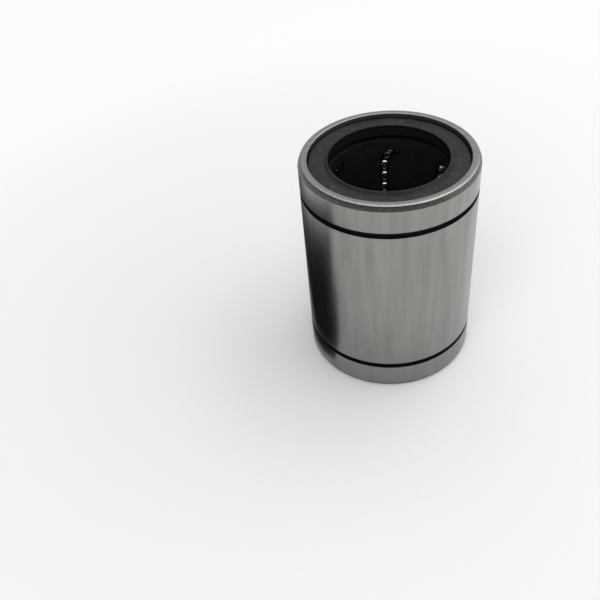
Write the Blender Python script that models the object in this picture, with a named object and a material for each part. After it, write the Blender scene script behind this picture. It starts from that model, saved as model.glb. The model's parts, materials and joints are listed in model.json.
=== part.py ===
"""Closed linear ball bushing for a 40 mm shaft.

A hardened, ground sleeve holds a moulded ball retainer between two internal retaining rings,
and a rubber seal on a steel insert closes each end. The balls run round closed circuits: a
loaded row that stands through the retainer's slot and carries the shaft, a half turn, a return
row behind the retainer's floor, and a half turn back.

Lengths are in metres. The shaft's axis is Z, and the bushing stands on Z = 0.
"""

import math

import bmesh
import bpy
from mathutils import Matrix, Vector

# Shaft and balls
SHAFT_DIAMETER = 0.040
BALL_DIAMETER = 0.00476         # 3/16 inch
BALL_CONTACT = 0.00004          # depth of the touching flats between two balls of a group
TURN_BALLS = 3                  # balls in one half turn
FIRST_ROW_ANGLE = math.radians(94.0)
# One number for each circuit: how far its balls have rolled on from their even layout, in pitches
BALL_PHASES = (0.28, -0.33, 0.12, -0.20, 0.40, 0.10)

# Clearances
SEAT_GAP = 0.0003               # between pieces that rest on or fit in one another
BALL_CLEARANCE = 0.00015        # between a ball and its track
ROW_END_CLEARANCE = 0.0001      # between a row's last ball and the turn

# Retainer
SHAFT_CLEARANCE = 0.0005        # between the shaft and the retainer's bore
RETURN_FLOOR = 0.0009           # wall between the bore and the return row
TURN_LIFT = 0.0002              # rise of a turn's farthest ball off the circuit's plane
RETAINER_END_WALL = 0.0016      # least wall between a turn and the retainer's end
RETAINER_EDGE = 0.0005

# Sleeve
SLEEVE_LENGTH = 0.080
SLEEVE_WALL = 0.0031            # at the seal's seat
TURN_RELIEF = 0.00059           # room outside the return balls
RACE_SETBACK = 0.0003           # how far the race stops short of the turns
RIM_INSET = 0.00115             # crowned chamfer at each end: how far it comes in
RIM_DROP = 0.00195              # how far it runs along the sleeve
RIM_CROWN = 0.00012             # how far it bulges past a flat chamfer
RING_GROOVE_WIDTH = 0.0021
RING_GROOVE_DEPTH = 0.0015
RING_GROOVE_SPAN = 0.0605       # over the outer flanks of the two grooves
SNAP_GROOVE_DEPTH = 0.0010

# Retaining rings
SNAP_RING_THICKNESS = 0.0012
SNAP_RING_LAP = 0.0010          # how far the ring covers the retainer's end
SNAP_RING_GAP = math.radians(24.0)

# Seals
SEAL_RECESS = 0.0016            # seal's face below the sleeve's rim
SEAL_HEIGHT = 0.0034
SEAL_EDGE = 0.0003
SEAL_CLEARANCE = 0.0004         # between the shaft and the seal's body
LIP_INTERFERENCE = 0.00004      # how far the lip is smaller than the shaft
LIP_RISE = 0.00075              # lip above the seal's face
LIP_CREST = 0.0006
LIP_FLANK = 0.0005
LIP_UNDERCUT = 0.0012
VALLEY_DEPTH = 0.00025
VALLEY_WIDTH = 0.0010
INSERT_THICKNESS = 0.0008
INSERT_COVER = 0.0015           # rubber inside the insert

# Facets
SLEEVE_SIDES = 48
RETAINER_SIDES = 36
SEAL_SIDES = 36
RING_SIDES = 24
RIM_STEPS = 4
TURN_STEPS = 8
TRACK_SIDES = 8
LANE_SIDES = 12
BALL_SIDES = 6
BALL_BANDS = 4
WELD = 0.000001

# Radii, from the shaft outward
shaft_radius = SHAFT_DIAMETER / 2
ball_radius = BALL_DIAMETER / 2
track_radius = ball_radius + BALL_CLEARANCE
load_radius = shaft_radius + ball_radius
retainer_bore = shaft_radius + SHAFT_CLEARANCE
return_radius = retainer_bore + RETURN_FLOOR + track_radius
race_radius = shaft_radius + BALL_DIAMETER + BALL_CLEARANCE
retainer_radius = race_radius - SEAT_GAP
seat_radius = return_radius + ball_radius + TURN_RELIEF
sleeve_radius = seat_radius + SLEEVE_WALL

# Heights above the middle of the bushing, from the end inward
half_length = SLEEVE_LENGTH / 2
seal_face = half_length - SEAL_RECESS
seal_back = seal_face - SEAL_HEIGHT
insert_top = seal_back + INSERT_THICKNESS
snap_ring_top = seal_back - SEAT_GAP
snap_ring_bottom = snap_ring_top - SNAP_RING_THICKNESS
retainer_half = snap_ring_bottom - SEAT_GAP

# One ball circuit
pitch = BALL_DIAMETER - BALL_CONTACT
turn_step = math.pi / TURN_BALLS
turn_radius = pitch / (2 * math.sin(turn_step / 2))
turn_tilt = math.asin(TURN_LIFT / turn_radius)
straight_room = 2 * (retainer_half - RETAINER_END_WALL - turn_radius - track_radius)
row_balls = int((straight_room - 2 * ROW_END_CLEARANCE) / pitch)
straight_half = row_balls * pitch / 2 + ROW_END_CLEARANCE
race_half = straight_half - RACE_SETBACK

# The circuit's plane, with its loaded row at +X and its return row at a smaller angle
row_angle = math.acos(
    (load_radius**2 + return_radius**2 - (2 * turn_radius) ** 2)
    / (2 * load_radius * return_radius)
)
load_line = Vector((load_radius, 0.0, 0.0))
return_line = Matrix.Rotation(-row_angle, 3, "Z") @ Vector((return_radius, 0.0, 0.0))
across = (return_line - load_line).normalized()
outward = Matrix.Rotation(math.pi / 2, 3, "Z") @ across
along = Vector((0.0, 0.0, 1.0))


def finish(name, colour, roughness, metallic):
    """Make a plain Principled material."""
    material = bpy.data.materials.new(name)
    material.use_nodes = True
    shader = material.node_tree.nodes["Principled BSDF"]
    shader.inputs["Base Color"].default_value = (*colour, 1.0)
    shader.inputs["Roughness"].default_value = roughness
    shader.inputs["Metallic"].default_value = metallic
    return material


def mesh_from(bm, name, material):
    """Turn a bmesh into a smooth-shaded mesh whose faces point out."""
    bmesh.ops.remove_doubles(bm, verts=bm.verts, dist=WELD)
    bmesh.ops.recalc_face_normals(bm, faces=bm.faces)
    mesh = bpy.data.meshes.new(name)
    bm.to_mesh(mesh)
    bm.free()
    mesh.shade_smooth()
    mesh.set_sharp_from_angle(angle=math.radians(40))
    mesh.materials.append(material)
    return mesh


def add_empty(name, parent=None):
    empty = bpy.data.objects.new(name, None)
    empty.empty_display_size = shaft_radius
    empty.parent = parent
    bpy.context.scene.collection.objects.link(empty)
    return empty


def add_piece(name, mesh, parent):
    piece = bpy.data.objects.new(name, mesh)
    piece.parent = parent
    bpy.context.scene.collection.objects.link(piece)
    return piece


def cut(piece, cutter):
    """Cut one piece with another, which then only guides the eye in the viewport."""
    cutter.hide_render = True
    cutter.display_type = "WIRE"
    boolean = piece.modifiers.new("Cut by " + cutter.name, "BOOLEAN")
    boolean.operation = "DIFFERENCE"
    boolean.solver = "EXACT"
    boolean.object = cutter


def turned(profile, sides, sweep=math.tau):
    """Spin a closed profile of (radius, height) points about the Z axis."""
    bm = bmesh.new()
    corners = [bm.verts.new((radius, 0.0, height)) for radius, height in profile]
    section = bm.faces.new(corners)
    whole = sweep == math.tau
    geometry = corners + section.edges[:]
    if whole:
        bm.faces.remove(section)
    else:
        geometry.append(section)
    bmesh.ops.spin(
        bm,
        geom=geometry,
        cent=(0.0, 0.0, 0.0),
        axis=along,
        angle=sweep,
        steps=sides,
        use_merge=whole,
    )
    return bm


def lofted(sections, closed):
    """Skin a run of sections that have as many points each; closed joins the last to the first."""
    bm = bmesh.new()
    loops = [[bm.verts.new(point) for point in section] for section in sections]
    following = loops[1:] + loops[:1] if closed else loops[1:]
    for loop, after in zip(loops, following):
        for i in range(len(loop)):
            j = (i + 1) % len(loop)
            bm.faces.new((loop[i], loop[j], after[j], after[i]))
    return bm


def mirrored(upper):
    """Close an upper half profile, outside to inside, with its mirror image below."""
    return upper + [(radius, -height) for radius, height in reversed(upper)]


def sleeve_profile():
    groove_top = RING_GROOVE_SPAN / 2
    groove_bottom = groove_top - RING_GROOVE_WIDTH
    groove_floor = sleeve_radius - RING_GROOVE_DEPTH
    upper = [
        (sleeve_radius, groove_bottom),
        (groove_floor, groove_bottom),
        (groove_floor, groove_top),
        (sleeve_radius, groove_top),
    ]
    slope = math.hypot(RIM_INSET, RIM_DROP)
    for step in range(RIM_STEPS + 1):
        share = step / RIM_STEPS
        bulge = 4 * RIM_CROWN * share * (1 - share)
        radius = sleeve_radius - RIM_INSET * share + bulge * RIM_DROP / slope
        height = half_length - RIM_DROP * (1 - share) + bulge * RIM_INSET / slope
        upper.append((radius, height))
    snap_floor = seat_radius + SNAP_GROOVE_DEPTH
    upper += [
        (seat_radius, half_length),
        (seat_radius, snap_ring_top + SEAT_GAP),
        (snap_floor, snap_ring_top + SEAT_GAP),
        (snap_floor, snap_ring_bottom - SEAT_GAP),
        (seat_radius, snap_ring_bottom - SEAT_GAP),
        (seat_radius, race_half + seat_radius - race_radius),
        (race_radius, race_half),
    ]
    return mirrored(upper)


def retainer_profile():
    upper = [
        (retainer_radius, retainer_half),
        (retainer_bore + RETAINER_EDGE, retainer_half),
        (retainer_bore, retainer_half - RETAINER_EDGE),
    ]
    return mirrored(upper)


def seal_profile():
    """Section of the upper seal's rubber, with a rebate at its back for the insert."""
    outside = seat_radius - SEAT_GAP
    lip = shaft_radius - LIP_INTERFERENCE
    body = shaft_radius + SEAL_CLEARANCE
    lip_top = seal_face + LIP_RISE
    valley = lip + LIP_CREST + LIP_FLANK
    rebate = body + INSERT_COVER
    return [
        (outside, insert_top + SEAT_GAP),
        (outside, seal_face - SEAL_EDGE),
        (outside - SEAL_EDGE, seal_face),
        (valley + VALLEY_WIDTH, seal_face),
        (valley, seal_face - VALLEY_DEPTH),
        (lip + LIP_CREST, lip_top),
        (lip, lip_top),
        (body, lip_top - LIP_UNDERCUT),
        (body, seal_back),
        (rebate, seal_back),
        (rebate, insert_top + SEAT_GAP),
    ]


def washer_profile(inside, outside, bottom, top):
    return [(outside, bottom), (outside, top), (inside, top), (inside, bottom)]


def ball_slices():
    """Distances from a ball's centre to the planes that slice it, from neck to neck."""
    neck = math.acos(pitch / 2 / ball_radius)
    step = (math.pi - 2 * neck) / BALL_BANDS
    return [-ball_radius * math.cos(neck + step * band) for band in range(BALL_BANDS + 1)]


def ball_group(count, slice_frame):
    """Skin a run of touching balls.

    slice_frame(ball, distance) is the frame of the plane that slices a ball at a distance from
    its centre. Neighbours share the slice at their neck, and the run ends in two poles.
    """
    sections = []
    for ball in range(count):
        distances = ball_slices()
        if ball == 0:
            distances[0] = -ball_radius
        if ball == count - 1:
            distances[-1] = ball_radius
        if ball > 0:
            distances = distances[1:]
        for distance in distances:
            frame = slice_frame(ball, distance)
            radius = math.sqrt(max(0.0, ball_radius**2 - distance**2))
            circle = []
            for side in range(BALL_SIDES):
                angle = math.tau * side / BALL_SIDES
                circle.append(frame @ Vector((radius * math.cos(angle), radius * math.sin(angle), 0)))
            sections.append(circle)
    return lofted(sections, closed=False)


def row_slice(ball, distance):
    """A slice across a straight row, which runs along Z with its middle at the origin."""
    return Matrix.Translation(along * ((ball - (row_balls - 1) / 2) * pitch + distance))


def turn_slice(ball, distance):
    """A slice across a half turn about the origin, in the XY plane, from +X over +Y to -X."""
    lean = math.asin(distance / turn_radius)
    angle = (ball + 0.5) * turn_step + lean
    to_centre = Matrix.Translation(Vector((turn_radius * math.cos(lean), 0.0, 0.0)))
    upright = Matrix.Rotation(-math.pi / 2, 4, "X")
    return Matrix.Rotation(angle, 4, "Z") @ to_centre @ upright


def turn_frame(end):
    """Frame of the upper (1) or lower (-1) turn: X to the row that feeds it, Y to its farthest ball."""
    centre = (load_line + return_line) / 2 + along * (end * straight_half)
    feed = -end * across
    crest = end * math.cos(turn_tilt) * along + math.sin(turn_tilt) * outward
    axes = Matrix((feed, crest, feed.cross(crest))).transposed()
    return Matrix.Translation(centre) @ axes.to_4x4()


def track_sections():
    """Trough-shaped sections along the circuit, open outward, for the cut that the balls run in."""
    corner = math.pi / TRACK_SIDES
    height = retainer_radius - load_line.dot(outward) + track_radius
    trough = [(track_radius, height)]
    for side in range(TRACK_SIDES // 2):
        angle = -corner * (2 * side + 1)
        reach = track_radius / math.cos(corner)
        trough.append((reach * math.cos(angle), reach * math.sin(angle)))
    trough.append((-track_radius, height))
    sections = []
    for end in (1, -1):
        frame = turn_frame(end)
        for step in range(TURN_STEPS + 1):
            angle = math.pi * step / TURN_STEPS
            spoke = Vector((math.cos(angle), math.sin(angle), 0.0))
            centre = frame @ (turn_radius * spoke)
            side = frame.to_3x3() @ spoke
            side = (side - side.dot(outward) * outward).normalized()
            sections.append([centre + a * side + b * outward for a, b in trough])
    return sections


def circuit_angle(index):
    return FIRST_ROW_ANGLE + math.tau * index / len(BALL_PHASES)


def lane_cutter():
    """Round bars where the return rows pass through the sleeve's race."""
    bm = bmesh.new()
    half = race_half + seat_radius - race_radius + SEAT_GAP
    lane_radius = track_radius / math.cos(math.pi / LANE_SIDES)
    for index in range(len(BALL_PHASES)):
        turn = Matrix.Rotation(circuit_angle(index), 4, "Z")
        bmesh.ops.create_cone(
            bm,
            cap_ends=True,
            segments=LANE_SIDES,
            radius1=lane_radius,
            radius2=lane_radius,
            depth=2 * half,
            matrix=turn @ Matrix.Translation(return_line),
        )
    return bm


def build():
    for old in list(bpy.data.objects):
        bpy.data.objects.remove(old, do_unlink=True)

    ground_steel = finish("Ground bearing steel", (0.56, 0.56, 0.55), 0.28, 1.0)
    resin = finish("Black moulded resin", (0.012, 0.012, 0.013), 0.38, 0.0)
    rubber = finish("Dark seal rubber", (0.045, 0.045, 0.047), 0.62, 0.0)
    plated = finish("Plated seal insert", (0.50, 0.49, 0.46), 0.35, 1.0)
    spring = finish("Dark spring steel", (0.11, 0.11, 0.12), 0.40, 1.0)
    bright = finish("Polished ball steel", (0.74, 0.74, 0.75), 0.06, 1.0)

    middle = add_empty("bushing_middle")
    middle.location.z = half_length

    sleeve = add_piece(
        "outer_sleeve",
        mesh_from(turned(sleeve_profile(), SLEEVE_SIDES), "Sleeve", ground_steel),
        middle,
    )
    lanes = add_piece(
        "return_lanes", mesh_from(lane_cutter(), "Return lanes", ground_steel), middle
    )
    cut(sleeve, lanes)

    retainer = add_piece(
        "ball_retainer",
        mesh_from(turned(retainer_profile(), RETAINER_SIDES), "Retainer", resin),
        middle,
    )
    track = mesh_from(lofted(track_sections(), closed=True), "Ball track", resin)

    seal_mesh = mesh_from(turned(seal_profile(), SEAL_SIDES), "Seal", rubber)
    insert_section = washer_profile(
        shaft_radius + SEAL_CLEARANCE + INSERT_COVER + SEAT_GAP,
        seat_radius - SEAT_GAP,
        seal_back,
        insert_top,
    )
    insert_mesh = mesh_from(turned(insert_section, RING_SIDES), "Seal insert", plated)
    ring_section = washer_profile(
        retainer_radius - SNAP_RING_LAP,
        seat_radius + SNAP_GROOVE_DEPTH - SEAT_GAP,
        snap_ring_bottom,
        snap_ring_top,
    )
    ring_mesh = mesh_from(
        turned(ring_section, RING_SIDES, math.tau - SNAP_RING_GAP), "Retaining ring", spring
    )
    for end, turned_over in (("upper", 0.0), ("lower", math.pi)):
        for kind, mesh in (("seal", seal_mesh), ("seal_insert", insert_mesh), ("retaining_ring", ring_mesh)):
            piece = add_piece(end + "_" + kind, mesh, middle)
            piece.rotation_euler.x = turned_over

    row_mesh = mesh_from(ball_group(row_balls, row_slice), "Row of balls", bright)
    turn_mesh = mesh_from(ball_group(TURN_BALLS, turn_slice), "Turn of balls", bright)
    for index, phase in enumerate(BALL_PHASES):
        name = "circuit_%d" % (index + 1)
        circuit = add_empty(name, middle)
        circuit.rotation_euler.z = circuit_angle(index)

        cut(retainer, add_piece(name + "_track", track, circuit))

        load_row = add_piece(name + "_load_row", row_mesh, circuit)
        load_row.location = load_line + phase * pitch * along
        load_row.rotation_euler.z = math.pi
        return_row = add_piece(name + "_return_row", row_mesh, circuit)
        return_row.location = return_line - phase * pitch * along
        return_row.rotation_euler.z = math.pi - row_angle
        rolled = Matrix.Rotation(phase * turn_step, 4, "Z")
        for end, side in (("upper", 1), ("lower", -1)):
            turn = add_piece(name + "_" + end + "_turn", turn_mesh, circuit)
            turn.matrix_basis = turn_frame(side) @ rolled

    print("Sleeve %.2f mm across, %.2f mm long" % (2000 * sleeve_radius, 1000 * SLEEVE_LENGTH))
    print("Balls in a row %d, in a circuit %d" % (row_balls, 2 * (row_balls + TURN_BALLS)))


build()
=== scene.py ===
# %% [markdown]
# # Dressing a linear ball bushing
# A linear ball bushing carries a shaft that slides lengthways. Six loops of steel balls run
# between the shaft and a hardened sleeve, so the shaft rolls where it would otherwise rub.
# The CAD model comes first: it fixes where every piece sits, how the balls move, and
# how large the whole thing may be. Its round forms are faceted, so this lesson turns, cuts and
# finishes finer pieces in the same places.

# %% Load the model
import json
import math

import bmesh
import bpy
from mathutils import Matrix, Vector


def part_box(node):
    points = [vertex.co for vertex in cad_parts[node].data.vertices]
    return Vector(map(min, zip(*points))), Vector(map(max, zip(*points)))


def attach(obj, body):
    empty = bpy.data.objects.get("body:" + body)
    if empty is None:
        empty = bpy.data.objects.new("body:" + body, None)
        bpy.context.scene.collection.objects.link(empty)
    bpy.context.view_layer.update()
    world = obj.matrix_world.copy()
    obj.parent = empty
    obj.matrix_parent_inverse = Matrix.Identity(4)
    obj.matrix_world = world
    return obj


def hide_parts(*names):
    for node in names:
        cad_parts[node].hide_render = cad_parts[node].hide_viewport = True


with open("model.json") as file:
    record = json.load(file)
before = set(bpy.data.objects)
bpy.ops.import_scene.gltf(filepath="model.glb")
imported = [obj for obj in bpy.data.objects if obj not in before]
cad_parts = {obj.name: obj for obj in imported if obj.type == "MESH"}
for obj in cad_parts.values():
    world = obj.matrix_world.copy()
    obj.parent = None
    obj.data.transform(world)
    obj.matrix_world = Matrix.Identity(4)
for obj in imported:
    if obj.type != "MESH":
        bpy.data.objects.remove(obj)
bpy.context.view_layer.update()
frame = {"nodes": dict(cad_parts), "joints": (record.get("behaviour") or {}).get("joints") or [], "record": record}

MM = 0.001
sleeve_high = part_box("outer_sleeve")[1]
sleeve_radius = sleeve_high.x
sleeve_length = sleeve_high.z
print("sleeve", round(2 * sleeve_radius / MM, 3), "mm across,", round(sleeve_length / MM, 3), "mm long")

# %% [markdown]
# ## The camera
# The picture looks down at about 42 degrees on a bushing that stands on its end. A camera is
# placed by its spot, by three turns (round, down and a slight lean) and by its lens. It could be
# aimed with a tracking constraint, but that would keep it upright. Here the turns are multiplied
# as matrices, with the lean about the line of sight that the other two have set.

# %% Place the camera
CAMERA_SPOT = (0.0, -0.21498, 0.21218)
CAMERA_ROUND = 0.1582
CAMERA_DOWN = 0.7348
CAMERA_LEAN = -0.1080
CAMERA_LENS = 45.255

lens = bpy.data.cameras.new("bench_camera")
lens.lens = CAMERA_LENS
lens.sensor_width = 36.0
lens.clip_start = 0.01
camera = bpy.data.objects.new("bench_camera", lens)
camera.matrix_world = (
    Matrix.Translation(CAMERA_SPOT)
    @ Matrix.Rotation(CAMERA_ROUND, 4, "Z")
    @ Matrix.Rotation(math.pi / 2 - CAMERA_DOWN, 4, "X")
    @ Matrix.Rotation(CAMERA_LEAN, 4, "Z")
)
bpy.context.scene.collection.objects.link(camera)
bpy.context.scene.camera = camera
print("camera looks along", [round(c, 3) for c in -camera.matrix_world.col[2].xyz])

# %% [markdown]
# ## A bench for finishes
# Every finish here is a Principled shader. Its colour, and mostly its roughness and bump too,
# come from noise in the object's own coordinates. Pictures could be wrapped round the pieces
# instead, but noise needs no unwrapping and its grain has a real size. Small helpers do the
# wiring: one makes the shader, one makes grain that can be stretched into scratches, one maps
# that grain onto a range of values, and the others lay colour and bumps with it.

# %% Helpers for finishes
def new_finish(name, **values):
    finish = bpy.data.materials.new(name)
    finish.use_nodes = True
    shader = finish.node_tree.nodes["Principled BSDF"]
    for socket, value in values.items():
        shader.inputs[socket.replace("_", " ")].default_value = value
    return finish


def grain(finish, size, stretch=(1.0, 1.0, 1.0), detail=3.0):
    """Noise whose blobs are about `size` metres wide, drawn out by `stretch`."""
    nodes, links = finish.node_tree.nodes, finish.node_tree.links
    place = nodes.new("ShaderNodeTexCoord")
    scale = nodes.new("ShaderNodeMapping")
    scale.inputs["Scale"].default_value = [1.0 / (size * s) for s in stretch]
    noise = nodes.new("ShaderNodeTexNoise")
    noise.inputs["Scale"].default_value = 1.0
    noise.inputs["Detail"].default_value = detail
    links.new(place.outputs["Object"], scale.inputs["Vector"])
    links.new(scale.outputs["Vector"], noise.inputs["Vector"])
    return noise.outputs["Fac"]


GRAIN_FROM, GRAIN_TO = 0.3, 0.7


def spread(finish, value, low, high, start=GRAIN_FROM, stop=GRAIN_TO):
    """Map a value between `start` and `stop` onto the range `low` to `high`."""
    ranger = finish.node_tree.nodes.new("ShaderNodeMapRange")
    for socket, number in (("From Min", start), ("From Max", stop), ("To Min", low), ("To Max", high)):
        ranger.inputs[socket].default_value = number
    finish.node_tree.links.new(value, ranger.inputs["Value"])
    return ranger.outputs["Result"]


def feed(finish, socket, value):
    shader = finish.node_tree.nodes["Principled BSDF"]
    finish.node_tree.links.new(value, shader.inputs[socket])


print("grain is read between", GRAIN_FROM, "and", GRAIN_TO)

# %% Helpers for colour and bumps
def grey(level):
    return (level, level, level)


def colour_between(finish, value, dark, light):
    """Colour ramp from `dark` to `light`, led by grain; wired to the base colour."""
    ramp = finish.node_tree.nodes.new("ShaderNodeValToRGB")
    for stop, place, colour in zip(ramp.color_ramp.elements, (GRAIN_FROM, GRAIN_TO), (dark, light)):
        stop.position = place
        stop.color = (*colour, 1.0)
    finish.node_tree.links.new(value, ramp.inputs["Fac"])
    feed(finish, "Base Color", ramp.outputs["Color"])


def overlay(finish, mask, colour):
    """Lay a colour over the base colour where the mask is 1."""
    tree = finish.node_tree
    under = tree.nodes["Principled BSDF"].inputs["Base Color"].links[0].from_socket
    mix = tree.nodes.new("ShaderNodeMix")
    mix.data_type = "RGBA"
    mix.inputs["B"].default_value = (*colour, 1.0)
    tree.links.new(mask, mix.inputs["Factor"])
    tree.links.new(under, mix.inputs["A"])
    feed(finish, "Base Color", mix.outputs["Result"])


def bump(finish, value, depth):
    """Tilt the shading as if grain stood `depth` metres high."""
    node = finish.node_tree.nodes.new("ShaderNodeBump")
    node.inputs["Strength"].default_value = 1.0
    node.inputs["Distance"].default_value = depth
    finish.node_tree.links.new(value, node.inputs["Height"])
    feed(finish, "Normal", node.outputs["Normal"])


print("finish helpers ready")

# %% [markdown]
# ## Steel finishes of the sleeve
# The outside of a bushing is ground on a wheel, which leaves hair-fine lines round it and makes
# a reflection smear upright. Bump alone could draw the lines, but they are finer than a pixel, so
# the smear comes from anisotropy: the lines run round, and the shader's tangent is turned a
# quarter to smear across them. Upright streaks vary the colour. Toward the foot the colour is darkened
# as painted shade, standing in for the shadowed floor that the steel reflects there; a colour that fades with
# height does that.

# %% Make the ground steel
PAINTED_SHADE_TOP = 32 * MM
PAINTED_SHADE_COVER = 0.45


def rise_on(finish):
    """How high the shaded point lies on the piece, in metres."""
    tree = finish.node_tree
    place = tree.nodes.new("ShaderNodeTexCoord")
    parts = tree.nodes.new("ShaderNodeSeparateXYZ")
    tree.links.new(place.outputs["Object"], parts.inputs["Vector"])
    return parts.outputs["Z"]


ground_steel = new_finish(
    "ground_steel_finish", Metallic=1.0, Anisotropic=0.75, Anisotropic_Rotation=0.25
)
tangent = ground_steel.node_tree.nodes.new("ShaderNodeTangent")
tangent.direction_type = "RADIAL"
tangent.axis = "Z"
feed(ground_steel, "Tangent", tangent.outputs["Tangent"])
grind_lines = grain(ground_steel, size=0.06 * MM, stretch=(500, 500, 1))
wiped_streaks = grain(ground_steel, size=3 * MM, stretch=(1, 1, 12), detail=4)
colour_between(ground_steel, wiped_streaks, dark=(0.264, 0.255, 0.245), light=(0.340, 0.329, 0.315))
# painted shade: the colour darkens toward the foot, standing in for the shadowed floor reflected there
painted_foot_shade = spread(ground_steel, rise_on(ground_steel), low=PAINTED_SHADE_COVER, high=0.0, start=0.0, stop=PAINTED_SHADE_TOP)
overlay(ground_steel, painted_foot_shade, (0.18, 0.174, 0.166))
feed(ground_steel, "Roughness", spread(ground_steel, grind_lines, low=0.265, high=0.30))
bump(ground_steel, grind_lines, depth=0.00003 * MM)
print(ground_steel.name, "has", len(ground_steel.node_tree.nodes), "nodes")

# %% [markdown]
# ## The other faces of the sleeve
# The flat end is faced bright, while the slope beside it keeps the grey scale of hardening, and
# both are pitted where the ground steel is smooth. The ring grooves keep a black skin, and their
# edges are rubbed bright. One material with painted masks could hold all this, but the borders lie
# on the turned edges, so each face gets a finish of its own.

# %% Make the end, groove and inside steel
faced_end = new_finish("faced_end_finish", Metallic=1.0)
end_pits = grain(faced_end, size=0.22 * MM, detail=4)
end_tint = grain(faced_end, size=0.7 * MM)
colour_between(faced_end, end_tint, dark=(0.40, 0.392, 0.373), light=(0.525, 0.515, 0.49))
feed(faced_end, "Roughness", spread(faced_end, end_pits, low=0.22, high=0.36))
bump(faced_end, end_pits, depth=0.012 * MM)

rim_scale = new_finish("rim_scale_finish", Metallic=1.0)
scale_pits = grain(rim_scale, size=0.25 * MM, detail=4)
scale_tint = grain(rim_scale, size=0.6 * MM)
colour_between(rim_scale, scale_tint, dark=(0.09, 0.088, 0.082), light=(0.17, 0.167, 0.157))
feed(rim_scale, "Roughness", spread(rim_scale, scale_pits, low=0.28, high=0.45))
bump(rim_scale, scale_pits, depth=0.025 * MM)

black_skin = new_finish("black_groove_finish", Metallic=0.6)
skin_tint = grain(black_skin, size=0.5 * MM)
colour_between(black_skin, skin_tint, dark=(0.006, 0.006, 0.006), light=(0.02, 0.019, 0.018))
skin_pits = grain(black_skin, size=0.15 * MM)
feed(black_skin, "Roughness", spread(black_skin, skin_pits, low=0.45, high=0.65))
bump(black_skin, skin_pits, depth=0.004 * MM)

worn_edge = new_finish("worn_edge_finish", Metallic=1.0)
edge_nicks = grain(worn_edge, size=3 * MM)
colour_between(worn_edge, edge_nicks, dark=(0.50, 0.49, 0.48), light=(0.66, 0.65, 0.64))
feed(worn_edge, "Roughness", spread(worn_edge, edge_nicks, low=0.2, high=0.34))
bump(worn_edge, edge_nicks, depth=0.002 * MM)

inside_steel = new_finish("inside_steel_finish", Metallic=1.0)
inside_lines = grain(inside_steel, size=0.12 * MM, stretch=(80, 80, 1))
colour_between(inside_steel, inside_lines, dark=(0.20, 0.20, 0.20), light=(0.27, 0.27, 0.265))
feed(inside_steel, "Roughness", spread(inside_steel, inside_lines, low=0.3, high=0.45))
bump(inside_steel, inside_lines, depth=0.001 * MM)
sleeve_finishes = (ground_steel, faced_end, rim_scale, black_skin, worn_edge, inside_steel)
print("sleeve finishes:", [f.name for f in sleeve_finishes])

# %% [markdown]
# ## A lathe
# Most pieces of a bushing are round, so the script has a lathe: it takes the corners of half a
# section as radius and height, rounds each corner by its own radius, and spins the outline round
# Z. A bevel modifier could round the corners afterwards, but here every corner has a radius of
# its own, which is plainest in the outline. Rounded corners matter more than they seem to: a
# sharp edge in a render catches no light, while a real edge shows a thin bright line.

# %% Round the corners of an outline
WIDE_ROUNDING = 0.5 * MM
WIDE_STEPS, NARROW_STEPS = 14, 4


def soften(corners):
    """Outline points from (radius, height, rounding) corners; rounding 0 leaves a corner sharp."""
    outline = []
    for before, corner, after in zip(corners[-1:] + corners[:-1], corners, corners[1:] + corners[:1]):
        here = Vector(corner[:2])
        rounding = corner[2]
        if not rounding:
            outline.append(here)
            continue
        back = (Vector(before[:2]) - here).normalized()
        ahead = (Vector(after[:2]) - here).normalized()
        half = back.angle(ahead) / 2
        centre = here + (back + ahead).normalized() * (rounding / math.sin(half))
        first = here + back * (rounding / math.tan(half)) - centre
        sweep = (here + ahead * (rounding / math.tan(half)) - centre).angle_signed(first)
        steps = WIDE_STEPS if rounding > WIDE_ROUNDING else NARROW_STEPS
        for step in range(steps + 1):
            outline.append(centre + Matrix.Rotation(sweep * step / steps, 2) @ first)
    return outline


def mirrored(corners):
    """The same corners at the other end of the sleeve, in the order that closes an outline."""
    return [
        (radius, sleeve_length - height, rounding)
        for radius, height, rounding in reversed(corners)
    ]


def both_ends(upper):
    """Complete an outline by mirroring its upper half about the sleeve's middle."""
    return upper + mirrored(upper)


print("a corner has", NARROW_STEPS, "or", WIDE_STEPS, "steps")

# %% Spin an outline into a piece
WELD_DISTANCE = 0.0001 * MM


def piece_from(bm, name):
    bmesh.ops.recalc_face_normals(bm, faces=bm.faces)
    mesh = bpy.data.meshes.new(name)
    bm.to_mesh(mesh)
    bm.free()
    piece = bpy.data.objects.new(name, mesh)
    bpy.context.scene.collection.objects.link(piece)
    return piece


def shade(piece, crease=32.0):
    """Smooth shading that stays sharp at edges steeper than `crease` degrees."""
    piece.data.shade_smooth()
    piece.data.set_sharp_from_angle(angle=math.radians(crease))


def lathe(name, corners, steps):
    bm = bmesh.new()
    ring = [bm.verts.new((p.x, 0.0, p.y)) for p in soften(corners)]
    edges = [bm.edges.new(pair) for pair in zip(ring, ring[1:] + ring[:1])]
    bmesh.ops.spin(
        bm, geom=ring + edges, cent=(0, 0, 0), axis=(0, 0, 1), angle=math.tau, steps=steps, use_merge=True
    )
    bmesh.ops.remove_doubles(bm, verts=bm.verts, dist=WELD_DISTANCE)
    return piece_from(bm, name)


print("lathe ready")

# %% [markdown]
# ## Reading the ball circuits from the frame
# A circuit is a loop: a loaded row that bears on the shaft, a half turn, a return row deeper in
# the retainer, and a half turn back. The frame already knows it: a row's highest point lies on
# its axis, and each half turn is a hinge with a centre and an axis. Measuring these here, rather
# than copying numbers, keeps the fine pieces on the CAD ones.

# %% Measure the circuits
CIRCUITS = 6
BALL_DIAMETER = 4.76 * MM
joints = {joint["name"]: joint for joint in frame["joints"]}
ratios = {c["joint"]: c["ratio"] for c in frame["record"]["behaviour"]["couplings"]}


def row_axis(node):
    """Point half way along a row of balls, on its axis, from the tips of its end balls."""
    corners = [v.co for v in frame["nodes"][node].data.vertices]
    return (max(corners, key=lambda c: c.z) + min(corners, key=lambda c: c.z)) / 2


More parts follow.
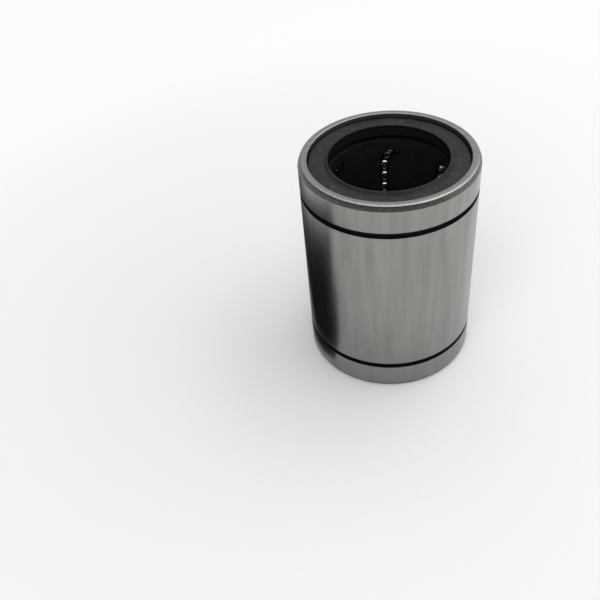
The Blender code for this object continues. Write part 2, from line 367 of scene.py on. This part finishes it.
first_low, first_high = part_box("circuit_1_load_row")
row_run = first_high.z - first_low.z - BALL_DIAMETER
row_balls = round(row_run / BALL_DIAMETER) + 1
ball_pitch = row_run / (row_balls - 1)
load_axis = row_axis("circuit_1_load_row")
return_axis = row_axis("circuit_1_return_row")
turn_radius = (return_axis.xy - load_axis.xy).length / 2
print(row_balls, "balls a row, pitch", round(ball_pitch / MM, 3), "mm")
print("turn radius", round(turn_radius / MM, 3), "mm")
print("rows at radius", [round(axis.xy.length / MM, 3) for axis in (load_axis, return_axis)], "mm")

# %% [markdown]
# ## The sleeve
# The sleeve is one turned profile: two ring grooves outside, a short slope with a rounded top
# corner on each end, and inside a seat for the seal, a small groove for the ring that holds the
# retainer, and the hardened race that the balls run on. It could be stacked from tubes, but one
# profile has no joints to hide. Six round lanes are then cut through the race, because the balls
# on their way back must not touch it.

# %% Turn the sleeve
GROOVE_SPAN = 60.5 * MM
GROOVE_WIDTH = 2.1 * MM
GROOVE_DEPTH = 1.5 * MM
GROOVE_FILLET = 0.2 * MM
EDGE_ROUNDING = 0.04 * MM
RIM_INSET = 0.75 * MM
RIM_DROP = 1.75 * MM
RIM_ROUNDING = 0.9 * MM
RIM_FOOT_ROUNDING = 0.3 * MM
SEAT_RADIUS = 26.9 * MM
SEAT_ROUNDING = 0.2 * MM
SNAP_RADIUS = 27.9 * MM
SNAP_FROM, SNAP_TO = 33.2 * MM, 35.0 * MM
SNAP_FILLET = 0.1 * MM
RACE_RADIUS = 24.91 * MM
RACE_HALF = 23.4 * MM
RACE_ROUNDING = 0.3 * MM
LEAD_FILLET = 0.2 * MM

middle = sleeve_length / 2
groove_top = middle + GROOVE_SPAN / 2
groove_bottom = groove_top - GROOVE_WIDTH
groove_floor = sleeve_radius - GROOVE_DEPTH
lead_half = RACE_HALF + SEAT_RADIUS - RACE_RADIUS
sleeve = lathe("ground_sleeve", both_ends([
    (sleeve_radius, groove_bottom, EDGE_ROUNDING),
    (groove_floor, groove_bottom, GROOVE_FILLET),
    (groove_floor, groove_top, GROOVE_FILLET),
    (sleeve_radius, groove_top, EDGE_ROUNDING),
    (sleeve_radius, sleeve_length - RIM_DROP, RIM_FOOT_ROUNDING),
    (sleeve_radius - RIM_INSET, sleeve_length, RIM_ROUNDING),
    (SEAT_RADIUS, sleeve_length, SEAT_ROUNDING),
    (SEAT_RADIUS, middle + SNAP_TO, 0.0),
    (SNAP_RADIUS, middle + SNAP_TO, SNAP_FILLET),
    (SNAP_RADIUS, middle + SNAP_FROM, SNAP_FILLET),
    (SEAT_RADIUS, middle + SNAP_FROM, 0.0),
    (SEAT_RADIUS, middle + lead_half, LEAD_FILLET),
    (RACE_RADIUS, middle + RACE_HALF, RACE_ROUNDING),
]), steps=240)
print("sleeve turned with", len(sleeve.data.vertices), "points")

# %% Cut the return lanes through the race
TRACK_RADIUS = 2.53 * MM
LANE_OVERRUN = 0.3 * MM


def cut(piece, cutter):
    """Cut the cutter out of the piece for good, and throw the cutter away."""
    knife = piece.modifiers.new("cut", "BOOLEAN")
    knife.operation = "DIFFERENCE"
    knife.solver = "EXACT"
    knife.object = cutter
    bpy.context.view_layer.update()
    result = piece.evaluated_get(bpy.context.evaluated_depsgraph_get())
    mesh = bpy.data.meshes.new_from_object(result)
    piece.modifiers.clear()
    piece.data = mesh
    bpy.data.objects.remove(cutter)


bm = bmesh.new()
for circuit in range(1, CIRCUITS + 1):
    spot = row_axis(f"circuit_{circuit}_return_row")
    bmesh.ops.create_cone(
        bm, cap_ends=True, segments=40, radius1=TRACK_RADIUS, radius2=TRACK_RADIUS,
        depth=2 * (lead_half + LANE_OVERRUN),
        matrix=Matrix.Translation((spot.x, spot.y, middle)),
    )
cut(sleeve, piece_from(bm, "lane_bars"))
print("sleeve cut,", len(sleeve.data.polygons), "faces")

# %% Give each face of the sleeve its finish
FACED_DROP = 0.19 * MM
INSIDE_REACH = 1.2 * MM
WORN_DEPTH = 0.01 * MM
slots = {finish.name: slot for slot, finish in enumerate(sleeve_finishes)}
for finish in sleeve_finishes:
    sleeve.data.materials.append(finish)
for face in sleeve.data.polygons:
    radius = face.center.xy.length
    from_end = middle - abs(face.center.z - middle)
    if radius < SEAT_RADIUS + INSIDE_REACH and from_end > SEAT_ROUNDING:
        finish = inside_steel
    elif from_end < FACED_DROP or radius < SEAT_RADIUS + SEAT_ROUNDING:
        finish = faced_end
    elif from_end < RIM_DROP:
        finish = rim_scale
    elif radius < sleeve_radius - EDGE_ROUNDING:
        finish = black_skin
    elif radius < sleeve_radius - WORN_DEPTH:
        finish = worn_edge
    else:
        finish = ground_steel
    face.material_index = slots[finish.name]
shade(sleeve)
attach(sleeve, "bushing")
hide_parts("outer_sleeve")
print("sleeve dressed in", len(sleeve.data.materials), "finishes")

# %% [markdown]
# ## The seals
# A rubber seal closes each end: a flat ring with a shallow valley and a raised lip that wipes
# the shaft. Moulded rubber is dark grey and matt, a little mottled, with pale rubbed marks
# where it was handled; inside the lip its colour is darker, as painted shade for the dark bore.
# Squashed rings could stand for the lip and valley, but the lathe follows the true section. The
# lower seal is the same section mirrored.

# %% Make the rubber
SCUFF_FROM, SCUFF_TO = 0.6, 0.74
seal_rubber = new_finish("seal_rubber_finish", Specular_IOR_Level=0.2)
rubber_skin = grain(seal_rubber, size=0.35 * MM, detail=4)
rubber_mottle = grain(seal_rubber, size=5 * MM, detail=6)
colour_between(seal_rubber, rubber_mottle, dark=grey(0.024), light=grey(0.037))
rubbed = grain(seal_rubber, size=1.2 * MM, stretch=(2, 1, 1), detail=6)
scuffs = spread(seal_rubber, rubbed, low=0.0, high=0.6, start=SCUFF_FROM, stop=SCUFF_TO)
overlay(seal_rubber, scuffs, grey(0.11))
feed(seal_rubber, "Roughness", spread(seal_rubber, rubber_skin, low=0.45, high=0.62))
bump(seal_rubber, rubber_skin, depth=0.008 * MM)

# painted shade: the rubber inside the lip is coloured darker for the shadow in the bore
shaded_lip_rubber = new_finish("shaded_lip_rubber_finish", Specular_IOR_Level=0.08)
shaded_lip_skin = grain(shaded_lip_rubber, size=0.4 * MM)
colour_between(shaded_lip_rubber, shaded_lip_skin, dark=grey(0.009), light=grey(0.013))
feed(shaded_lip_rubber, "Roughness", spread(shaded_lip_rubber, shaded_lip_skin, low=0.5, high=0.65))
bump(shaded_lip_rubber, shaded_lip_skin, depth=0.004 * MM)
print("rubber ready:", seal_rubber.name, shaded_lip_rubber.name)

# %% Turn the seals
seal_low, seal_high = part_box("upper_seal")
seal_radius = seal_high.x
lip_top = seal_high.z
LIP_RISE = 0.75 * MM
LIP_RADIUS = 19.96 * MM
LIP_CREST = 0.6 * MM
LIP_UNDERCUT = 1.2 * MM
VALLEY_RADIUS = 21.06 * MM
VALLEY_WIDTH = 1.0 * MM
VALLEY_DEPTH = 0.25 * MM
BODY_RADIUS = 20.4 * MM
REBATE_RADIUS = 21.9 * MM
REBATE_TOP = middle + 36.1 * MM
BORE_MARGIN = 0.01 * MM
SEAL_EDGE, SEAL_FOOT = 0.4 * MM, 0.1 * MM
VALLEY_BROW, VALLEY_FLOOR = 0.6 * MM, 0.25 * MM
CREST_EDGE, LIP_EDGE, THROAT_EDGE = 0.2 * MM, 0.15 * MM, 0.3 * MM

seal_face = lip_top - LIP_RISE
upper_corners = [
    (seal_radius, REBATE_TOP, 0.0),
    (seal_radius, seal_face, SEAL_EDGE),
    (VALLEY_RADIUS + VALLEY_WIDTH, seal_face, VALLEY_BROW),
    (VALLEY_RADIUS, seal_face - VALLEY_DEPTH, VALLEY_FLOOR),
    (LIP_RADIUS + LIP_CREST, lip_top, CREST_EDGE),
    (LIP_RADIUS, lip_top, LIP_EDGE),
    (BODY_RADIUS, lip_top - LIP_UNDERCUT, THROAT_EDGE),
    (BODY_RADIUS, seal_low.z, SEAL_FOOT),
    (REBATE_RADIUS, seal_low.z, 0.0),
    (REBATE_RADIUS, REBATE_TOP, 0.0),
]
for name, node, corners in (
    ("upper_wiper_seal", "upper_seal", upper_corners),
    ("lower_wiper_seal", "lower_seal", mirrored(upper_corners)),
):
    seal = lathe(name, corners, steps=200)
    seal.data.materials.append(seal_rubber)
    seal.data.materials.append(shaded_lip_rubber)
    # faces inside the lip take the darker rubber, which is painted shade for the bore
    for face in seal.data.polygons:
        faces_shaft = face.normal.xy.dot(face.center.xy) < 0
        if faces_shaft and face.center.xy.length < BODY_RADIUS + BORE_MARGIN:
            face.material_index = 1
    shade(seal, crease=40.0)
    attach(seal, "bushing")
    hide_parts(node)
    print(name, len(seal.data.polygons), "faces")

# %% [markdown]
# ## The ball retainer
# The retainer is a moulded resin tube. Its six oval tracks are open outward and break through
# to the bore along the loaded rows, just enough for the balls to show. The tracks could be cut
# with rows of balls, but that leaves a scalloped floor. Here a trough section is carried round
# the loop like a milling cutter, and the solid it sweeps is taken away.

# %% Make the resin
black_resin = new_finish("black_resin_finish", Specular_IOR_Level=0.25)
resin_skin = grain(black_resin, size=0.5 * MM, detail=2)
resin_tint = grain(black_resin, size=3 * MM)
colour_between(black_resin, resin_tint, dark=grey(0.009), light=grey(0.013))
feed(black_resin, "Roughness", spread(black_resin, resin_skin, low=0.42, high=0.55))
bump(black_resin, resin_skin, depth=0.003 * MM)
print("resin ready:", black_resin.name)

# %% Carry a trough round one circuit
TROUGH_STEPS = 14
TURN_STEPS = 24
retainer_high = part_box("ball_retainer")[1]
retainer_radius = retainer_high.x


def turn_axes(circuit, end):
    """Centre, direction to the feeding row and direction to the farthest ball of a half turn."""
    joint = joints[f"circuit_{circuit}_{end}_turn_roll"]
    centre = Vector(joint["pos_m"])
    feeder = row_axis(f"circuit_{circuit}_{'load' if end == 'upper' else 'return'}_row")
    to_feeder = Vector((feeder.x - centre.x, feeder.y - centre.y, 0.0)).normalized()
    return centre, to_feeder, Vector(joint["axis"]).cross(to_feeder)


def trough_sections(circuit):
    load = row_axis(f"circuit_{circuit}_load_row")
    back = row_axis(f"circuit_{circuit}_return_row")
    across = Vector((back.x - load.x, back.y - load.y, 0.0)).normalized()
    outward = Vector((0.0, 0.0, 1.0)).cross(across)
    rise = retainer_radius - load.dot(outward) + TRACK_RADIUS
    trough = [(TRACK_RADIUS, rise)]
    for step in range(TROUGH_STEPS + 1):
        angle = -math.pi * step / TROUGH_STEPS
        trough.append((TRACK_RADIUS * math.cos(angle), TRACK_RADIUS * math.sin(angle)))
    trough.append((-TRACK_RADIUS, rise))
    sections = []
    for end in ("upper", "lower"):
        centre, to_feeder, to_far = turn_axes(circuit, end)
        for step in range(TURN_STEPS + 1):
            angle = math.pi * step / TURN_STEPS
            spoke = math.cos(angle) * to_feeder + math.sin(angle) * to_far
            side = (spoke - spoke.dot(outward) * outward).normalized()
            spot = centre + turn_radius * spoke
            sections.append([spot + a * side + b * outward for a, b in trough])
    return sections


print("trough has", len(trough_sections(1)), "sections")

# %% Mould the retainer
BORE_RADIUS = 20.5 * MM
BORE_EDGE = 0.1 * MM
OUTER_EDGE = 0.3 * MM


def swept_ring(bm, sections):
    """Skin over sections that close on themselves."""
    rings = [[bm.verts.new(point) for point in section] for section in sections]
    for here, there in zip(rings, rings[1:] + rings[:1]):
        for k in range(len(here)):
            after = (k + 1) % len(here)
            bm.faces.new((here[k], here[after], there[after], there[k]))


bm = bmesh.new()
for circuit in range(1, CIRCUITS + 1):
    swept_ring(bm, trough_sections(circuit))
retainer = lathe("resin_retainer", both_ends([
    (retainer_radius, retainer_high.z, OUTER_EDGE),
    (BORE_RADIUS, retainer_high.z, BORE_EDGE),
]), steps=180)
cut(retainer, piece_from(bm, "track_cutters"))
retainer.data.materials.clear()
retainer.data.materials.append(black_resin)
shade(retainer, crease=35.0)
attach(retainer, "bushing")
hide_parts("ball_retainer")
print("retainer", len(retainer.data.polygons), "faces")

# %% [markdown]
# ## The balls
# Bearing balls are lapped to a mirror, so they show little but the lamps and the dark bore. One
# ball could be repeated by instances, but each row and each half turn of the frame moves as one
# body, so its balls are made as one piece of separate spheres. They are a hair smaller than the
# pitch, so that neighbours do not cut into one another.

# %% Polish the balls
BALL_RADIUS_SHARE = 0.4995
ball_steel = new_finish("lapped_ball_finish", Metallic=1.0)
lapping = grain(ball_steel, size=0.4 * MM)
colour_between(ball_steel, lapping, dark=(0.74, 0.74, 0.75), light=(0.82, 0.82, 0.82))
feed(ball_steel, "Roughness", spread(ball_steel, lapping, low=0.03, high=0.07))
shown_radius = BALL_RADIUS_SHARE * ball_pitch


def place_balls(name, node, body, spots):
    bm = bmesh.new()
    for spot in spots:
        bmesh.ops.create_uvsphere(
            bm, u_segments=32, v_segments=16, radius=shown_radius, matrix=Matrix.Translation(spot)
        )
    balls = piece_from(bm, name)
    balls.data.materials.append(ball_steel)
    balls.data.shade_smooth()
    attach(balls, body)
    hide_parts(node)
    return len(spots)


print("balls shown", round(2 * shown_radius / MM, 3), "mm across")

# %% Place the balls
TURN_ANGLES = (math.pi / 6, math.pi / 2, math.pi * 5 / 6)
total = 0
for circuit in range(1, CIRCUITS + 1):
    loop = f"circuit_{circuit}"
    advance = row_axis(f"{loop}_load_row").z - middle
    for row in ("load", "return"):
        centre = row_axis(f"{loop}_{row}_row")
        spots = [centre + Vector((0, 0, (k - (row_balls - 1) / 2) * ball_pitch)) for k in range(row_balls)]
        total += place_balls(f"{loop}_{row}_balls", f"{loop}_{row}_row", f"{loop}_{row}", spots)
    for end in ("upper", "lower"):
        centre, to_feeder, to_far = turn_axes(circuit, end)
        spots = []
        for angle in TURN_ANGLES:
            angle += advance * ratios[f"{loop}_{end}_turn_roll"]
            spots.append(centre + turn_radius * (math.cos(angle) * to_feeder + math.sin(angle) * to_far))
        total += place_balls(f"{loop}_{end}_turn_balls", f"{loop}_{end}_turn", f"{loop}_{end}", spots)
print(total, "balls placed")

# %% [markdown]
# ## Pieces that keep their CAD shape
# The snap rings and the washers inside the seals are plain flat rings behind the rubber. They
# could be turned again with more faces, but hardly any of them shows, so they stay and only get
# a finish: brown-black spring steel, and a zinc skin with a faint warm cast.

# %% Finish the rings and washers
spring_steel = new_finish("spring_steel_finish", Metallic=1.0)
spring_marks = grain(spring_steel, size=0.6 * MM, stretch=(4, 4, 1))
colour_between(spring_steel, spring_marks, dark=(0.05, 0.047, 0.043), light=(0.09, 0.085, 0.078))
feed(spring_steel, "Roughness", spread(spring_steel, spring_marks, low=0.35, high=0.5))
bump(spring_steel, spring_marks, depth=0.003 * MM)

plated_steel = new_finish("plated_steel_finish", Metallic=1.0)
plate_marks = grain(plated_steel, size=0.8 * MM, detail=5)
colour_between(plated_steel, plate_marks, dark=(0.42, 0.42, 0.40), light=(0.52, 0.52, 0.51))
feed(plated_steel, "Roughness", spread(plated_steel, plate_marks, low=0.28, high=0.45))
bump(plated_steel, plate_marks, depth=0.002 * MM)

for node, finish in (
    ("upper_retaining_ring", spring_steel), ("lower_retaining_ring", spring_steel),
    ("upper_seal_insert", plated_steel), ("lower_seal_insert", plated_steel),
):
    frame["nodes"][node].data.materials.clear()
    frame["nodes"][node].data.materials.append(finish)
    print(node, "finished in", finish.name)

# %% [markdown]
# ## The floor
# Steel shows what is around it, and a white floor shows it best. Near the bushing the floor is
# plain white paper that takes its shadow; farther off it fades into even white for the camera and
# for reflections. Brighter lamps could whiten the floor too, but they would wash out the steel.

# %% Helpers for the floor
def flat_card(name, width, height, matrix):
    bm = bmesh.new()
    bmesh.ops.create_grid(bm, x_segments=1, y_segments=1, size=0.5)
    bmesh.ops.scale(bm, vec=(width, height, 1.0), verts=bm.verts)
    card = piece_from(bm, name)
    card.matrix_world = matrix
    return card


def distance(finish, spot):
    """How far the shaded point lies from a spot on the piece, in metres."""
    tree = finish.node_tree
    place = tree.nodes.new("ShaderNodeTexCoord")
    apart = tree.nodes.new("ShaderNodeVectorMath")
    apart.operation = "DISTANCE"
    apart.inputs[1].default_value = spot
    tree.links.new(place.outputs["Object"], apart.inputs[0])
    return apart.outputs["Value"]


def combine(finish, operation, first, second):
    """Join two values with a clamped sum or product."""
    node = finish.node_tree.nodes.new("ShaderNodeMath")
    node.operation = operation
    node.use_clamp = True
    finish.node_tree.links.new(first, node.inputs[0])
    finish.node_tree.links.new(second, node.inputs[1])
    return node.outputs["Value"]


print("floor helpers ready")

# %% Lay the floor
FLOOR_WIDTH = 8.0
FLOOR_GAP = 0.02 * MM
PAPER_GLOW = 0.9
GLOW_FROM, GLOW_TO = 0.06, 0.28
floor_paper = new_finish("floor_paper_finish", Roughness=0.9, Specular_IOR_Level=0.1)
colour_between(floor_paper, grain(floor_paper, size=2 * MM), dark=grey(0.92), light=grey(0.93))
tree = floor_paper.node_tree
path = tree.nodes.new("ShaderNodeLightPath").outputs
seen = combine(floor_paper, "ADD", path["Is Camera Ray"], path["Is Glossy Ray"])
seen = combine(floor_paper, "ADD", seen, path["Is Transmission Ray"])
from_bushing = distance(floor_paper, (0.0, 0.0, 0.0))
clear = spread(floor_paper, from_bushing, low=0.0, high=PAPER_GLOW, start=GLOW_FROM, stop=GLOW_TO)
white = tree.nodes.new("ShaderNodeEmission")
blend = tree.nodes.new("ShaderNodeMixShader")
tree.links.new(combine(floor_paper, "MULTIPLY", seen, clear), blend.inputs["Fac"])
tree.links.new(tree.nodes["Principled BSDF"].outputs["BSDF"], blend.inputs[1])
tree.links.new(white.outputs["Emission"], blend.inputs[2])
tree.links.new(blend.outputs["Shader"], tree.nodes["Material Output"].inputs["Surface"])
floor = flat_card("floor", FLOOR_WIDTH, FLOOR_WIDTH, Matrix.Translation((0.0, 0.0, -FLOOR_GAP)))
floor.data.materials.append(floor_paper)
print("floor laid", tuple(round(d, 2) for d in floor.dimensions))

# %% [markdown]
# ## Dark cards
# Round steel looks flat when everything around it is white. Photographers stand black cards just
# outside the picture, and so does this scene, with three cards that only reflections can see. One
# lies on the floor and one stands low beside it; together they give the sleeve its dark side. The
# third stands in front and keeps the balls black below their highlights. Darker paint on the steel
# could do the same, but it would turn with the part.

# %% Place the dark cards
dark_card = new_finish("dark_card_finish", Roughness=1.0, Specular_IOR_Level=0.0)
colour_between(dark_card, grain(dark_card, size=20 * MM), dark=grey(0.01), light=grey(0.02))
for name, width, height, spot, turn, tilt in (
    ("floor_card", 0.0505, 0.2, (-0.0841, 0.0619, 0.5 * MM), 20, 0),
    ("side_card", 0.128, 0.039, (-0.0669, 0.0269, 0.020), 83, 90),
    ("front_card", 0.8, 0.24, (0.05, -0.27, 0.30), 0, 90),
):
    stand = Matrix.Rotation(math.radians(turn), 4, "Z") @ Matrix.Rotation(math.radians(tilt), 4, "X")
    card = flat_card(name, width, height, Matrix.Translation(spot) @ stand)
    card.data.materials.append(dark_card)
    card.visible_camera = False
    card.visible_diffuse = False
    card.visible_shadow = False
    print(name, "at", tuple(round(c, 3) for c in card.matrix_world.translation))

# %% [markdown]
# ## Light
# A wide panel overhead lights the floor softly and gives each ball its one highlight. A second
# panel stands to the right, and a third fills the front without showing in the steel. The air is
# pale at the horizon and dark overhead, because an even grey sky would veil the balls.

# %% Hang the lamps
def soft_lamp(name, spot, aim, width, depth, power):
    light = bpy.data.lights.new(name, "AREA")
    light.shape = "RECTANGLE"
    light.size = width
    light.size_y = depth
    light.energy = power
    lamp = bpy.data.objects.new(name, light)
    facing = (Vector(aim) - Vector(spot)).to_track_quat("-Z", "Y").to_matrix().to_4x4()
    lamp.matrix_world = Matrix.Translation(spot) @ facing
    bpy.context.scene.collection.objects.link(lamp)
    return lamp


BUSHING_FOOT = (0.0, 0.0, 0.0)
soft_lamp(
    "ceiling_lamp", spot=(0.065, 0.3, 1.35), aim=(0.065, 0.3, 0.0), width=1.4, depth=2.6, power=10.8
)
soft_lamp("window_lamp", spot=(0.45, 0.12, 0.4), aim=BUSHING_FOOT, width=0.8, depth=0.8, power=1.8)
fill_lamp = soft_lamp(
    "fill_lamp", spot=(-0.15, -0.8, 0.9), aim=BUSHING_FOOT, width=0.8, depth=0.8, power=4.8
)
fill_lamp.visible_glossy = False

# %% Fill the air
HORIZON_GREY, ZENITH_GREY = 0.42, 0.10
FADE_FROM, FADE_TO = 0.3, 0.85
world = bpy.data.worlds.new("studio_air")
world.use_nodes = True
air = world.node_tree
place = air.nodes.new("ShaderNodeTexCoord")
parts = air.nodes.new("ShaderNodeSeparateXYZ")
fade = air.nodes.new("ShaderNodeValToRGB")
for stop, rise, level in zip(fade.color_ramp.elements, (FADE_FROM, FADE_TO), (HORIZON_GREY, ZENITH_GREY)):
    stop.position = rise
    stop.color = (*grey(level), 1.0)
air.links.new(place.outputs["Generated"], parts.inputs["Vector"])
air.links.new(parts.outputs["Z"], fade.inputs["Fac"])
air.links.new(fade.outputs["Color"], air.nodes["Background"].inputs["Color"])
bpy.context.scene.world = world
bpy.context.scene.view_settings.view_transform = "Standard"
print("air fades from", HORIZON_GREY, "to", ZENITH_GREY)

# %% Finish
print("scene dressed")
